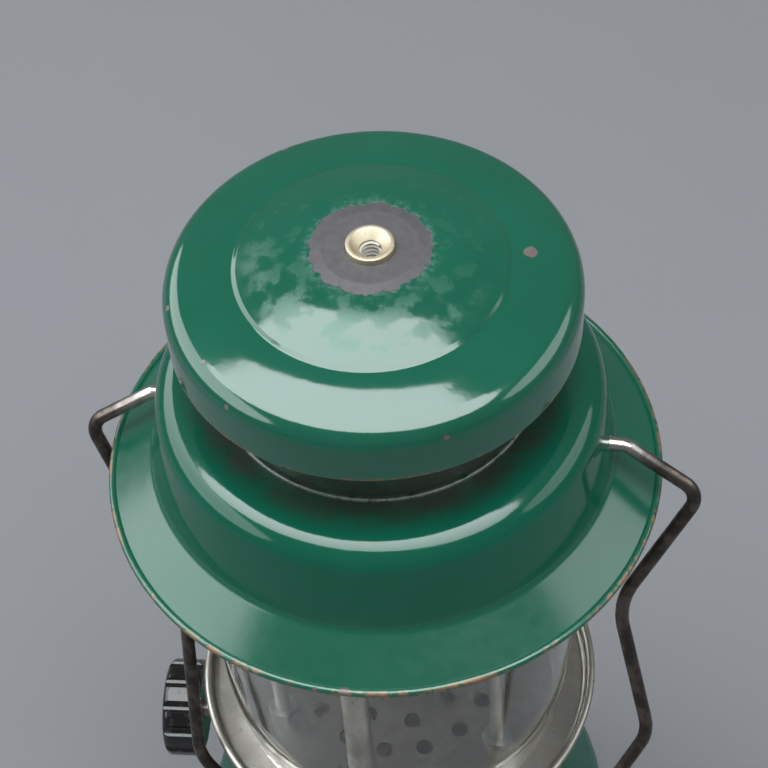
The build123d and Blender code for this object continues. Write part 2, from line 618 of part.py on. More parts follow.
def burner():
    """The mixing tube over the gas tip, the manifold under the baffle, and the burner cap with its mantle."""
    top = BAFFLE_Z
    middle = MANIFOLD_Z + MIX_SOCKET
    manifold = bar(MANIFOLD_R, *upright(0, 0, MANIFOLD_Z, top))
    manifold += bar(MANIFOLD_ARM_R, (0, 0, middle), (GEN_X, GEN_Y, middle))
    manifold += bar(MANIFOLD_END_R, *upright(GEN_X, GEN_Y, MANIFOLD_Z, top - SEAM))
    manifold -= bar(BURNER_NECK_R, *upright(0, 0, MANIFOLD_Z, MANIFOLD_Z + BURNER_NECK_L))
    manifold -= bar(MIX_R + SEAM, *upright(GEN_X, GEN_Y, MANIFOLD_Z, middle))
    manifold -= bar(MANIFOLD_BORE, (0, 0, middle), (GEN_X, GEN_Y, middle))
    manifold -= bar(POST_R + SEAM, *upright(0, 0, top - POST_SOCKET, top))
    mix_low = middle - MIX_LENGTH
    mixer = tube(MIX_R, MIX_BORE, *upright(GEN_X, GEN_Y, mix_low, middle))
    window_z = mix_low + MIX_OVER_TIP + MIX_WINDOW_R
    for x, y in around(4, 2 * MIX_R, 45.0):
        mixer -= bar(MIX_WINDOW_R, (GEN_X, GEN_Y, window_z), (GEN_X + x, GEN_Y + y, window_z))
    groove_top = MANIFOLD_Z - GROOVE_TOP
    groove_low = groove_top - GROOVE_H
    edge = MANIFOLD_Z - BURNER_H
    slope = BURNER_R - GROOVE_R
    neck = BURNER_NECK_R - SEAM
    neck_top = MANIFOLD_Z + BURNER_NECK_L - SEAM
    cap = turned((BURNER_THROAT, neck_top), (neck, neck_top), (neck, MANIFOLD_Z), (BURNER_R, MANIFOLD_Z),
                 (BURNER_R, groove_top), (GROOVE_R, groove_top - slope / 2),
                 (GROOVE_R, groove_low + slope / 2),
                 (BURNER_R, groove_low), (BURNER_R, edge), (BURNER_BORE, edge),
                 (BURNER_BORE, groove_top), (BURNER_THROAT, groove_top + slope))
    bottom = edge - MANTLE_LENGTH
    over = BURNER_R + SEAM + MANTLE_SHEET / 2
    in_groove = GROOVE_R + SEAM
    sock = [(in_groove, groove_top - slope), (in_groove, groove_low + MANTLE_LIFT), (over, groove_low + SEAM),
            (over, edge), (MANTLE_R, edge - MANTLE_WIDEST), (MANTLE_LOW_R, edge - MANTLE_LOW),
            (MANTLE_END_R, bottom), (0, bottom)]
    mantle = pressed(sock, MANTLE_CORNERS, MANTLE_SHEET)
    tie_z = (groove_top + groove_low) / 2
    tie = Pos(0, 0, tie_z) * Torus(in_groove + MANTLE_SHEET + SEAM + TIE_R, TIE_R)
    return {"burner_manifold": manifold, "mixing_tube": mixer, "burner_cap": cap, "mantle": mantle,
            "mantle_tie": tie}


def globe():
    """The glass globe, drawn in a little at both ends, standing on the base plate."""
    line = [(GLOBE_END_R, PLATE_Z), (GLOBE_R, PLATE_Z + GLOBE_SHOULDER),
            (GLOBE_R, PLATE_Z + GLOBE_H - GLOBE_SHOULDER), (GLOBE_END_R, PLATE_Z + GLOBE_H)]
    return pressed(line, [GLOBE_CORNER, GLOBE_CORNER], GLOBE_GLASS)


def ventilator():
    """The enamelled hood: body with its brim, windowed drum, cap, and the bush on its centre post."""
    def up(points):
        return [(radius, HOOD_Z + height) for radius, height in points]

    edge_r = BRIM_R - BRIM_BEAD_R
    body = pressed(up([(edge_r, BRIM_BEAD_R), (WALL_FOOT_R, BRIM_RISE), (WALL_TOP_R, DECK_RISE),
                       (DRUM_R + SEAM, DECK_RISE)]), [BRIM_CORNER, DECK_CORNER], HOOD_SHEET)
    body += Pos(0, 0, HOOD_Z + BRIM_BEAD_R) * Torus(edge_r, BRIM_BEAD_R)
    body -= bar(WIRE_R + FREE, (-BRIM_R, 0, PIVOT_Z), (BRIM_R, 0, PIVOT_Z))

    seat = HOOD_Z + SEAT_UP
    rise = [(CAP_R, CAP_EDGE_UP), (STEP_R, STEP_UP), (PANEL_FOOT_R, PANEL_FOOT_UP),
            (PANEL_R, PANEL_UP), (DOME_R, DOME_UP), (SEAT_R, SEAT_UP)]
    rounding = [CAP_EDGE_CORNER, STEP_CORNER, PANEL_CORNER, PANEL_CORNER, DOME_CORNER, PANEL_CORNER]
    cap = pressed(up([(CAP_R, SKIRT_UP), *rise, (BUSH_R + SEAM, SEAT_UP)]), rounding, HOOD_SHEET)

    deck_under = HOOD_Z + DECK_RISE - HOOD_SHEET
    drum_top = HOOD_Z + height_at(DRUM_R, rise) - HOOD_SHEET - SEAM
    drum_in = DRUM_R - DRUM_SHEET
    flange_low = deck_under - DRUM_SHEET
    drum = turned((drum_in, flange_low), (DRUM_FLANGE_R, flange_low), (DRUM_FLANGE_R, deck_under),
                  (DRUM_R, deck_under), (DRUM_R, drum_top), (drum_in, drum_top))
    window = Box(4 * DRUM_SHEET, DRUM_WINDOW_W, DRUM_WINDOW_H)
    window_z = HOOD_Z + DRUM_WINDOW_UP + DRUM_WINDOW_H / 2
    for place in PolarLocations(DRUM_R, DRUM_WINDOWS):
        drum -= Pos(0, 0, window_z) * place * window

    top = seat + BUSH_STAND
    flange_top = seat - HOOD_SHEET
    flange_under = flange_top - BUSH_FLANGE_T
    thread_top = top - BUSH_MOUTH_DEPTH
    thread_low = thread_top - TOP_THREAD_L
    socket_top = thread_low - BUSH_FLOOR
    low = socket_top - POST_TOP_SOCKET
    socket_r = POST_R + SEAM
    bush = turned((TOP_THREAD_R, thread_top), (BUSH_MOUTH_R, top), (BUSH_R, top), (BUSH_R, flange_top),
                  (BUSH_FLANGE_R, flange_top), (BUSH_FLANGE_R, flange_under), (BUSH_R, flange_under),
                  (BUSH_R, low), (socket_r, low), (socket_r, socket_top), (0, socket_top), (0, thread_low),
                  (TOP_THREAD_R, thread_low))
    post = bar(POST_R, *upright(0, 0, BAFFLE_Z - POST_SOCKET, socket_top))
    return {"ventilator_body": body, "ventilator_cap": cap, "ventilator_drum": drum, "vent_bushing": bush,
            "support_post": post}


def bail():
    """The wire bail, hanging forward against the collar, with its ends turned in through the hood's wall."""
    points = [(BAIL_END, 0), (BAIL_OUT, 0), *BAIL_RIGHT]
    points += [*reversed(BAIL_LEFT), (-BAIL_OUT, 0), (-BAIL_END, 0)]
    corners = [BAIL_END_CORNER, *BAIL_RIGHT_CORNERS, *reversed(BAIL_LEFT_CORNERS), BAIL_END_CORNER]
    down_way = Vector(0, -sin(BAIL_REST), -cos(BAIL_REST))
    plane = Plane(origin=(BAIL_SLIDE, 0, PIVOT_Z), x_dir=(1, 0, 0), z_dir=Vector(1, 0, 0).cross(down_way))
    path = plane * FilletPolyline(*points, radius=fitted(points, corners))
    return sweep(Plane(origin=path @ 0, z_dir=path % 0) * Circle(WIRE_R), path=path)


nodes = {**fount(), **filler(), **pump(), **collar(), "base_plate": base_plate(), **burner_frame(), **valve(),
         **generator(), **burner(), "globe": globe(), **ventilator(), "bail": bail()}
for name, solid in nodes.items():
    export_step(solid, f"parts/{name}.step")
print(len(nodes), "pieces; the bail rests", round(degrees(BAIL_REST), 2), "degrees forward of straight down")
print("pivot height", PIVOT_Z, "needle travel", round(2 * CRANK_THROW * sin(radians(CRANK_TURN / 2)), 3))
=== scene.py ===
# %% [markdown]
# The lantern's imported model is the frame of this scene. Every node is already in its place, in metres, so
# the lesson only decides which pieces are made again in finer form, and how every surface looks. The
# dressed lantern has to stay inside it.

# %% Load the frame
import json
from math import asin, cos, pi, radians, sin

import bmesh
import bpy
from mathutils import Matrix, Vector


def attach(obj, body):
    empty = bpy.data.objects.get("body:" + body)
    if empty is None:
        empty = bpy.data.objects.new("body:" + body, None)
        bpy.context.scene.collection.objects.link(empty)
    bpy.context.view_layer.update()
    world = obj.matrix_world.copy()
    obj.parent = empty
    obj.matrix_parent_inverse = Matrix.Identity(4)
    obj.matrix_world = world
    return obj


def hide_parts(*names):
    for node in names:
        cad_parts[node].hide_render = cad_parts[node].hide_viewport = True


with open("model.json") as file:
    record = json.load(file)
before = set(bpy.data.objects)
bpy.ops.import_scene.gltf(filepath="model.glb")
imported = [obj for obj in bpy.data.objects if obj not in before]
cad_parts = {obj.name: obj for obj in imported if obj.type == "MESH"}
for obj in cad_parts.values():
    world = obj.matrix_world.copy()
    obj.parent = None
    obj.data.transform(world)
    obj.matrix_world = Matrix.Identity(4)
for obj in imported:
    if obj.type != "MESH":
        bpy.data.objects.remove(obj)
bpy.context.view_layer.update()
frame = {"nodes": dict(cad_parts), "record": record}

NODES = frame["nodes"]
MM = 0.001

# %% [markdown]
# The photograph looks down on the hood from in front. Circles of the cap and the brim were measured in
# it, and a camera was fitted to them: how high it stands, how far away, and how much it leans. Its focal
# length is in pixels of a picture 768 wide, which a 36 mm sensor turns into millimetres.

# %% Camera
PICTURE = 768
SENSOR = 36.0
FOCAL_PIXELS = 2000.0
ELEVATION = radians(51.1)
AZIMUTH = radians(13.0)
LEAN = radians(-3.82)
DISTANCE = 526.2 * MM
AIM = Vector((1.1, 0.25, 283.2)) * MM
NEAR_CLIP = 10 * MM

turn = Matrix.Rotation(AZIMUTH, 3, "Z")
back = turn @ Vector((0, -cos(ELEVATION), sin(ELEVATION)))
level = turn @ Vector((1, 0, 0))
rise = back.cross(level)
right = cos(LEAN) * level + sin(LEAN) * rise
up = cos(LEAN) * rise - sin(LEAN) * level
lens = bpy.data.cameras.new("camera")
lens.sensor_width = SENSOR
lens.lens = FOCAL_PIXELS / PICTURE * SENSOR
lens.clip_start = NEAR_CLIP
camera = bpy.data.objects.new("camera", lens)
bpy.context.scene.collection.objects.link(camera)
pointing = Matrix((right, up, back)).transposed().to_4x4()
camera.matrix_world = Matrix.Translation(AIM + DISTANCE * back) @ pointing
bpy.context.scene.camera = camera
print("camera at", [round(x, 3) for x in camera.location], "lens", round(lens.lens, 2), "mm")

# %% [markdown]
# A wide soft box hangs overhead: the pale bands on the front of the enamel are its reflection. One at the
# left and one at the right brighten the brim. Each is given by how bright it looks in a mirror, and its
# power follows from its size. Part of each light is a sheen that only glossy surfaces see, so that the
# enamel shines as it does outdoors while colours still render about as they are written. The world adds a
# little light from all round. The floor is a plain grey sheet.

# %% Light and floor
scene = bpy.context.scene
scene.view_settings.view_transform = "Standard"
HOOD_MIDDLE = Vector((0, 0, 0.29))


def soft_box(name, azimuth, elevation, distance, size, brightness, colour):
    """A round area light on a sphere about the hood, facing it."""
    light = bpy.data.lights.new(name, "AREA")
    light.shape = "ELLIPSE"
    light.size, light.size_y = size
    light.energy = brightness * pi * (pi * size[0] * size[1] / 4)
    light.color = colour
    holder = bpy.data.objects.new(name, light)
    scene.collection.objects.link(holder)
    a, e = radians(azimuth), radians(elevation)
    away = Vector((sin(a) * cos(e), -cos(a) * cos(e), sin(e)))
    holder.location = HOOD_MIDDLE + distance * away
    holder.rotation_euler = away.to_track_quat("Z", "Y").to_euler()
    return holder


COOL = (0.94, 0.975, 1.0)
LIGHT_AWAY = 1.5
SHEEN_AWAY = 1.52
ROOM_GREY = 0.50
ROOM_STRENGTH = 0.42
for name, azimuth, elevation, size, brightness, sheen in (
    ("sky_box", -12, 81, (3.0, 1.36), 2.6, 5.4),
    ("left_box", -86, 25, (2.9, 1.1), 1.0, 3.0),
    ("right_box", 100, 25, (1.4, 0.85), 0.8, 1.8),
):
    soft_box(name, azimuth, elevation, LIGHT_AWAY, size, brightness, COOL)
    glossy_only = soft_box(name + "_sheen", azimuth, elevation, SHEEN_AWAY, size, sheen, COOL)
    glossy_only.visible_diffuse = False

world = bpy.data.worlds.new("room")
scene.world = world
world.use_nodes = True
room = world.node_tree.nodes["Background"]
room.inputs["Color"].default_value = (ROOM_GREY, ROOM_GREY, ROOM_GREY, 1)
room.inputs["Strength"].default_value = ROOM_STRENGTH

FLOOR_HALF = 3.0
floor_mesh = bpy.data.meshes.new("floor")
signs = ((-1, -1), (1, -1), (1, 1), (-1, 1))
floor_mesh.from_pydata([(x * FLOOR_HALF, y * FLOOR_HALF, 0) for x, y in signs], [], [(0, 1, 2, 3)])
floor = bpy.data.objects.new("floor", floor_mesh)
scene.collection.objects.link(floor)

# %% [markdown]
# Finishes are built from a few small helpers: one adds a node and wires it, one makes a soft threshold,
# one lays a colour over another. Every pattern reads Object coordinates, which are metres in the
# lantern's own frame, so scratches and stains have real sizes and stay where they are when a piece moves.

# %% Helpers for node trees
def put(tree, kind, settings=None, **wires):
    """Adds a node. A wire's name is an input's name with _ for spaces, or i and its number."""
    node = tree.nodes.new(kind)
    for key, value in (settings or {}).items():
        setattr(node, key, value)
    for key, value in wires.items():
        numbered = key[0] == "i" and key[1:].isdigit()
        socket = node.inputs[int(key[1:]) if numbered else key.replace("_", " ")]
        if isinstance(value, bpy.types.NodeSocket):
            tree.links.new(value, socket)
        else:
            socket.default_value = value
    return node


def sums(tree, operation, first, second=0.0, third=0.0):
    """One step of arithmetic in any node tree."""
    return put(tree, "ShaderNodeMath", {"operation": operation}, i0=first, i1=second, i2=third).outputs[0]


def fade(tree, value, low, high):
    """0 below low and 1 above high, or the other way round where low is the larger."""
    if low < high:
        node = put(tree, "ShaderNodeMapRange", {"interpolation_type": "SMOOTHSTEP"},
                   Value=value, From_Min=low, From_Max=high)
        return node.outputs[0]
    return sums(tree, "SUBTRACT", 1.0, fade(tree, value, high, low))


def zone(tree, value, low, high):
    """A fade between two sizes or places in millimetres."""
    return fade(tree, value, low * MM, high * MM)


def all_of(tree, *masks):
    """Where all the masks hold: their product."""
    whole = masks[0]
    for mask in masks[1:]:
        whole = sums(tree, "MULTIPLY", whole, mask)
    return whole


def lay(tree, amount, under, over):
    """One colour over another."""
    mix = put(tree, "ShaderNodeMix", {"data_type": "RGBA"}, i0=amount, i6=under, i7=over)
    return mix.outputs[2]


def level_of(tree, amount, under, over):
    """One number faded into another."""
    return put(tree, "ShaderNodeMix", {"data_type": "FLOAT"}, i0=amount, i2=under, i3=over).outputs[0]


def grain(tree, coords, size_mm, detail=3.0, stretch=None):
    """Noise from 0 to 1 whose blots are about size_mm across; stretch scales the three axes."""
    if stretch:
        mapping = put(tree, "ShaderNodeMapping", {"vector_type": "POINT"}, Vector=coords, Scale=stretch)
        coords = mapping.outputs[0]
    noise = put(tree, "ShaderNodeTexNoise", Vector=coords, Scale=1.0 / (size_mm * MM), Detail=detail)
    return noise.outputs["Fac"]


def new_finish(name):
    """A material with its tree, its shader and Object coordinates."""
    material = bpy.data.materials.new(name)
    material.use_nodes = True
    tree = material.node_tree
    coords = put(tree, "ShaderNodeTexCoord").outputs["Object"]
    return material, tree, tree.nodes["Principled BSDF"], coords


def dress(tree, shader, colour=None, roughness=None, metallic=None, bump=None, height_mm=0.02):
    """Wires the parts of a finish that vary over the surface."""
    for name, socket in (("Base Color", colour), ("Roughness", roughness), ("Metallic", metallic)):
        if socket is not None:
            tree.links.new(socket, shader.inputs[name])
    if bump is not None:
        node = put(tree, "ShaderNodeBump", Height=bump, Strength=1.0, Distance=height_mm * MM)
        tree.links.new(node.outputs[0], shader.inputs["Normal"])


print("helpers ready")

# %% [markdown]
# Plain metals share one recipe: a base colour, clouded by a slow noise, with fine drawn lines in its
# roughness and specks of tarnish. What changes from metal to metal is the colour, how rough it is and how
# dirty.

# %% Metal finishes
def metal(name, colour, stain, rough, dirt, line=(1, 1, 8), metallic=1.0):
    """A worked metal with cloudy tarnish and fine lines along its turning."""
    material, tree, shader, coords = new_finish(name)
    clouds = grain(tree, coords, 14, 5)
    specks = fade(tree, grain(tree, coords, 1.6, 4), 0.60, 0.72)
    tarnish = all_of(tree, sums(tree, "MAXIMUM", fade(tree, clouds, 0.42, 0.75), specks), dirt)
    lines = grain(tree, coords, 2.5, 2, line)
    colour_out = lay(tree, tarnish, (*colour, 1), (*stain, 1))
    lined = sums(tree, "MULTIPLY_ADD", lines, 0.16, rough - 0.08)
    rough_out = level_of(tree, tarnish, lined, min(rough + 0.3, 0.9))
    dress(tree, shader, colour_out, rough_out, bump=lines, height_mm=0.012)
    shader.inputs["Metallic"].default_value = metallic
    return material


NICKEL = metal("dulled_nickel", (0.33, 0.315, 0.285), (0.15, 0.125, 0.10), 0.34, 0.6)
STEEL = metal("plain_steel", (0.44, 0.43, 0.41), (0.18, 0.14, 0.11), 0.36, 0.4)
PALE_BRASS = metal("pale_brass", (0.44, 0.39, 0.29), (0.22, 0.18, 0.11), 0.50, 0.40)
BRASS = metal("dulled_brass", (0.64, 0.48, 0.23), (0.27, 0.17, 0.08), 0.32, 0.5)
IRON = metal("burnt_iron", (0.19, 0.175, 0.165), (0.30, 0.25, 0.21), 0.62, 0.6, (1, 1, 1), 0.7)
print("metals", [m.name for m in (NICKEL, STEEL, PALE_BRASS, BRASS, IRON)])

# %% [markdown]
# The bail is drawn wire that has browned, but its ends rub in the hood's holes and shine. Its height, and
# its distance to either side of the middle, tell how near a point is to those ends.

# %% Bail wire finish
BROWNED = ((0.055, 0.048, 0.042, 1), (0.12, 0.10, 0.085, 1))
RUBBED = (0.45, 0.43, 0.40, 1)


def wire_finish():
    material, tree, shader, coords = new_finish("browned_wire")
    axes = put(tree, "ShaderNodeSeparateXYZ", Vector=coords)
    across = sums(tree, "ABSOLUTE", axes.outputs["X"])
    rub = sums(tree, "ADD", across, sums(tree, "MULTIPLY", grain(tree, coords, 4, 3), 14 * MM))
    high = zone(tree, axes.outputs["Z"], 255, 262)
    bright = all_of(tree, zone(tree, rub, 83, 70), high)
    patches = fade(tree, grain(tree, coords, 5, 5), 0.42, 0.62)
    brown = lay(tree, patches, *BROWNED)
    colour = lay(tree, bright, brown, RUBBED)
    rough = level_of(tree, bright, sums(tree, "MULTIPLY_ADD", patches, -0.12, 0.42), 0.24)
    dress(tree, shader, colour, rough, bump=grain(tree, coords, 1.2, 4), height_mm=0.05)
    shader.inputs["Metallic"].default_value = 0.9
    return material


WIRE = wire_finish()
print("wire", WIRE.name)

# %% [markdown]
# The hood is steel with fired glass enamel on it: deep green, very glossy, a little wavy. Heat and the
# missing nut have burnt it off round the centre hole, down to grey steel with a pale ragged fringe. Its
# edges are chipped and rusty, soot stains the deck under the cap and painted shade darkens it there too, a
# pale painted highlight follows the seam at the drum's foot, and a few knocks have left round chips. The
# dome and the brim are dulled in places. Each of these is a mask made from the place on the hood, broken up
# by noise. A chip is its place and its radius.

# %% Enamel finish
CHIPS = [((37.9, 9.2, 330.2), 2.1), ((-47.8, -17.5, 326.2), 1.0), ((-34.6, -34.2, 327.7), 0.7),
         ((25.7, -45.4, 323.8), 0.9), ((-27.1, -44.3, 324.5), 0.8), ((-30.3, 39.1, 327.3), 1.2),
         ((3.0, -75.0, 252.4), 1.6), ((-4.5, -75.2, 252.2), 1.0)]
HOOD_Z = 251.0
BRIM_R = 76.0
DRUM_R = 41.0
DECK_Z = HOOD_Z + 38.0
CAP_EDGE_Z = HOOD_Z + 61.0
CAP_TOP_Z = HOOD_Z + 75.0
BRIM_EDGE_R = BRIM_R - 0.4
WALL_FADE = (HOOD_Z + 11.5, HOOD_Z + 15.0)
BARE_R = 12.8
WORN_R = 34.0
DEEP_GREEN = (0.004, 0.108, 0.060, 1)
PALE_GREEN = (0.008, 0.152, 0.090, 1)
SOOT_AND_SHADE = (0.030, 0.024, 0.018, 1)
SEAM_HIGHLIGHT = (0.24, 0.30, 0.26, 1)
FRINGE = (0.18, 0.33, 0.27, 1)
RUST = ((0.16, 0.075, 0.035, 1), (0.32, 0.19, 0.11, 1))
CHIPPED = ((0.10, 0.075, 0.07, 1), (0.20, 0.17, 0.165, 1))
BARE_STEEL = ((0.052, 0.049, 0.054, 1), (0.115, 0.108, 0.116, 1))


def chip_mask(tree, coords, ragged):
    """Round chips with ragged edges, each at its own place."""
    chipped = None
    for place, size in CHIPS:
        centre = tuple(x * MM for x in place)
        away = put(tree, "ShaderNodeVectorMath", {"operation": "DISTANCE"}, i0=coords, i1=centre)
        uneven = sums(tree, "MULTIPLY", ragged, size * MM * 0.8)
        spot = zone(tree, sums(tree, "ADD", away.outputs["Value"], uneven), size * 1.35, size * 1.15)
        chipped = spot if chipped is None else sums(tree, "MAXIMUM", chipped, spot)
    return chipped


def enamel_finish():
    material, tree, shader, coords = new_finish("green_enamel")
    axes = put(tree, "ShaderNodeSeparateXYZ", Vector=coords)
    height = axes.outputs["Z"]
    flat = put(tree, "ShaderNodeCombineXYZ", X=axes.outputs["X"], Y=axes.outputs["Y"], Z=0.0).outputs[0]
    radius = put(tree, "ShaderNodeVectorMath", {"operation": "LENGTH"}, i0=flat).outputs["Value"]
    ragged = grain(tree, coords, 2.2, 6)
    slow = grain(tree, coords, 9, 4)

    colour = lay(tree, grain(tree, coords, 30, 4), DEEP_GREEN, PALE_GREEN)
    # Under the cap the deck is darkened for soot stains and also with painted shade where the cap shades it.
    under_cap = all_of(tree, zone(tree, radius, DRUM_R + 12, DRUM_R + 3),
                       zone(tree, height, DECK_Z - 1.5, DECK_Z - 0.5),
                       zone(tree, height, CAP_EDGE_Z + 2, CAP_EDGE_Z - 1))
    soot_and_shade = all_of(tree, under_cap, sums(tree, "MULTIPLY_ADD", fade(tree, slow, 0.25, 0.58), 0.6, 0.4))
    colour = lay(tree, all_of(tree, soot_and_shade, 0.85), colour, SOOT_AND_SHADE)
    # A pale painted highlight along the seam where the drum meets the deck.
    seam = all_of(tree, zone(tree, radius, DRUM_R + 1.3, DRUM_R + 1.0),
                  zone(tree, radius, DRUM_R - 0.1, DRUM_R + 0.1),
                  zone(tree, height, DECK_Z + 1.0, DECK_Z + 0.8), fade(tree, ragged, 0.30, 0.50))
    colour = lay(tree, all_of(tree, seam, under_cap, 0.7), colour, SEAM_HIGHLIGHT)

    reach = sums(tree, "ADD", radius, sums(tree, "MULTIPLY", ragged, -4 * MM))
    high = zone(tree, height, CAP_TOP_Z - 1, CAP_TOP_Z + 1)
    bare = all_of(tree, zone(tree, reach, BARE_R + 0.6, BARE_R), high)
    halo = all_of(tree, zone(tree, reach, BARE_R + 3.2, BARE_R + 0.4), high)
    fringe = all_of(tree, halo, fade(tree, grain(tree, coords, 1.3, 5), 0.38, 0.68), 0.45)
    colour = lay(tree, fringe, colour, FRINGE)

    skirt = all_of(tree, zone(tree, height, CAP_EDGE_Z + 1.2, CAP_EDGE_Z),
                   zone(tree, height, CAP_EDGE_Z - 2, CAP_EDGE_Z - 1))
    brim = zone(tree, radius, BRIM_EDGE_R - 1, BRIM_EDGE_R)
    rust = all_of(tree, sums(tree, "MAXIMUM", skirt, brim), fade(tree, slow, 0.42, 0.56),
                  fade(tree, ragged, 0.35, 0.55))
    chipped = chip_mask(tree, coords, ragged)
    colour = lay(tree, rust, colour, lay(tree, slow, *RUST))
    colour = lay(tree, chipped, colour, lay(tree, ragged, *CHIPPED))
    colour = lay(tree, bare, colour, lay(tree, ragged, *BARE_STEEL))

    lost = sums(tree, "MAXIMUM", sums(tree, "MAXIMUM", bare, chipped), rust)
    rough = level_of(tree, lost, sums(tree, "MULTIPLY_ADD", slow, 0.10, 0.05), 0.55)
    rough = level_of(tree, soot_and_shade, rough, 0.35)
    worn = all_of(tree, zone(tree, radius, WORN_R, WORN_R - 6), high,
                  fade(tree, grain(tree, coords, 6, 6), 0.44, 0.60), sums(tree, "SUBTRACT", 1.0, lost))
    rough = level_of(tree, worn, rough, 0.32)
    dulled = sums(tree, "MULTIPLY_ADD", grain(tree, coords, 3, 5), 0.12, 0.16)
    on_brim = zone(tree, height, WALL_FADE[1], WALL_FADE[0])
    rough = level_of(tree, on_brim, rough, sums(tree, "MAXIMUM", rough, dulled))
    fine_wave = sums(tree, "MULTIPLY", grain(tree, coords, 1.8, 2), 0.16)
    wave = sums(tree, "ADD", grain(tree, coords, 9, 3), fine_wave)
    relief = sums(tree, "SUBTRACT", wave, sums(tree, "MULTIPLY", lost, 1.4))
    relief = sums(tree, "ADD", relief, all_of(tree, lost, ragged, 0.6))
    dress(tree, shader, colour, rough, all_of(tree, lost, 0.3), relief, 0.06)
    on_wall = all_of(tree, zone(tree, height, *WALL_FADE), zone(tree, height, DECK_Z + 0.5, DECK_Z - 2))
    tree.links.new(level_of(tree, on_wall, 0.65, 0.30), shader.inputs["Specular IOR Level"])
    return material


ENAMEL = enamel_finish()
print("enamel chips", len(CHIPS))

# %% [markdown]
# The other finishes are quieter: satin paint on the fount, clear glass with a faint bloom of dust, black
# moulded knobs, knitted mantle cloth, leather and rubber. The floor is matt.

# %% Other finishes
def paint_finish():
    material, tree, shader, coords = new_finish("fount_paint")
    blots = grain(tree, coords, 40, 5)
    scratch = fade(tree, grain(tree, coords, 5, 3, (1, 1, 0.12)), 0.68, 0.74)
    colour = lay(tree, blots, (0.008, 0.095, 0.062, 1), (0.014, 0.135, 0.09, 1))
    colour = lay(tree, sums(tree, "MULTIPLY", scratch, 0.35), colour, (0.10, 0.20, 0.16, 1))
    rough = sums(tree, "MULTIPLY_ADD", grain(tree, coords, 6, 4), 0.18, 0.20)
    dress(tree, shader, colour, rough, bump=grain(tree, coords, 1.5, 2), height_mm=0.02)
    return material


def glass_finish():
    material, tree, shader, coords = new_finish("clear_glass")
    bloom = fade(tree, grain(tree, coords, 18, 5), 0.5, 0.8)
    colour = lay(tree, bloom, (0.95, 0.97, 0.96, 1), (0.86, 0.86, 0.84, 1))
    rough = sums(tree, "MULTIPLY_ADD", bloom, 0.10, 0.02)
    dress(tree, shader, colour, rough, bump=grain(tree, coords, 20, 1), height_mm=0.05)
    shader.inputs["Transmission Weight"].default_value = 1.0
    shader.inputs["IOR"].default_value = 1.47
    return material


def knob_finish():
    material, tree, shader, coords = new_finish("black_plastic")
    dust = fade(tree, grain(tree, coords, 3, 5), 0.5, 0.75)
    colour = lay(tree, sums(tree, "MULTIPLY", dust, 0.5), (0.010, 0.010, 0.011, 1), (0.06, 0.055, 0.05, 1))
    rough = sums(tree, "MULTIPLY_ADD", dust, 0.25, 0.16)
    dress(tree, shader, colour, rough, bump=grain(tree, coords, 0.8, 2), height_mm=0.02)
    return material


def cloth_finish(name, pale, dark, size_mm, rough):
    material, tree, shader, coords = new_finish(name)
    knit = grain(tree, coords, size_mm, 2)
    dress(tree, shader, lay(tree, knit, (*dark, 1), (*pale, 1)), bump=knit, height_mm=size_mm * 0.25)
    shader.inputs["Roughness"].default_value = rough
    return material


def floor_finish():
    material, tree, shader, coords = new_finish("floor_sheet")
    colour = lay(tree, grain(tree, coords, 120, 3), (0.290, 0.295, 0.320, 1), (0.310, 0.315, 0.335, 1))
    dress(tree, shader, colour)
    shader.inputs["Roughness"].default_value = 0.9
    return material


PAINT = paint_finish()
GLASS = glass_finish()
KNOB = knob_finish()
MANTLE_CLOTH = cloth_finish("mantle_knit", (0.82, 0.80, 0.75), (0.55, 0.52, 0.47), 0.7, 0.95)
LEATHER = cloth_finish("pump_leather", (0.22, 0.12, 0.06), (0.12, 0.06, 0.03), 0.9, 0.6)
RUBBER = cloth_finish("gasket_rubber", (0.04, 0.04, 0.04), (0.02, 0.02, 0.02), 0.8, 0.7)
floor_mesh.materials.append(floor_finish())
FINISH_OF_SLOT = {
    "green_enamel": ENAMEL, "fount_paint": PAINT, "nickel_plate": NICKEL, "plain_steel": STEEL,
    "bail_wire": WIRE, "brass": BRASS, "burner_iron": IRON, "globe_glass": GLASS, "black_knob": KNOB,
    "mantle_cloth": MANTLE_CLOTH, "pump_leather": LEATHER, "gasket_rubber": RUBBER,
}
SLOT_OF_NODE = {s["node"]: s["material_slot"] for s in frame["record"]["subparts"]}
for name, node in NODES.items():
    node.data.materials.clear()
    node.data.materials.append(FINISH_OF_SLOT[SLOT_OF_NODE[name]])
print("dressed", len(NODES), "nodes in", len(FINISH_OF_SLOT), "finishes")

# %% [markdown]
# The hood's pressings, the globe and the bush are turned shapes: a closed half section carried once round
# the axis. A Geometry Nodes tree does it. It rounds the section's corners with Fillet Curve, lays a grid
# with one column for each step round the axis, and moves each grid point to its place on the turned
# section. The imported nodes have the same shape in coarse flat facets, which gloss would show, so these
# pieces replace them.

# %% Tree for turned pieces
STEPS_ROUND = 192
SMOOTH_ANGLE = 38
SAME_POINT = 2e-6


def input_socket(tree, name, kind, default=None):
    socket = tree.interface.new_socket(name, in_out="INPUT", socket_type=kind)
    if default is not None:
        socket.default_value = default


def bend_of(tree):
    """The corner radius that each point of a line carries."""
    named = put(tree, "GeometryNodeInputNamedAttribute", {"data_type": "FLOAT"}, Name="bend")
    return named.outputs["Attribute"]


def close_tree(tree, geometry, finish):
    """Every tree ends in real geometry with its finish on it."""
    whole = put(tree, "GeometryNodeRealizeInstances", Geometry=geometry).outputs[0]
    done = put(tree, "GeometryNodeSetMaterial", Geometry=whole, Material=finish).outputs[0]
    put(tree, "NodeGroupOutput", Piece=done)


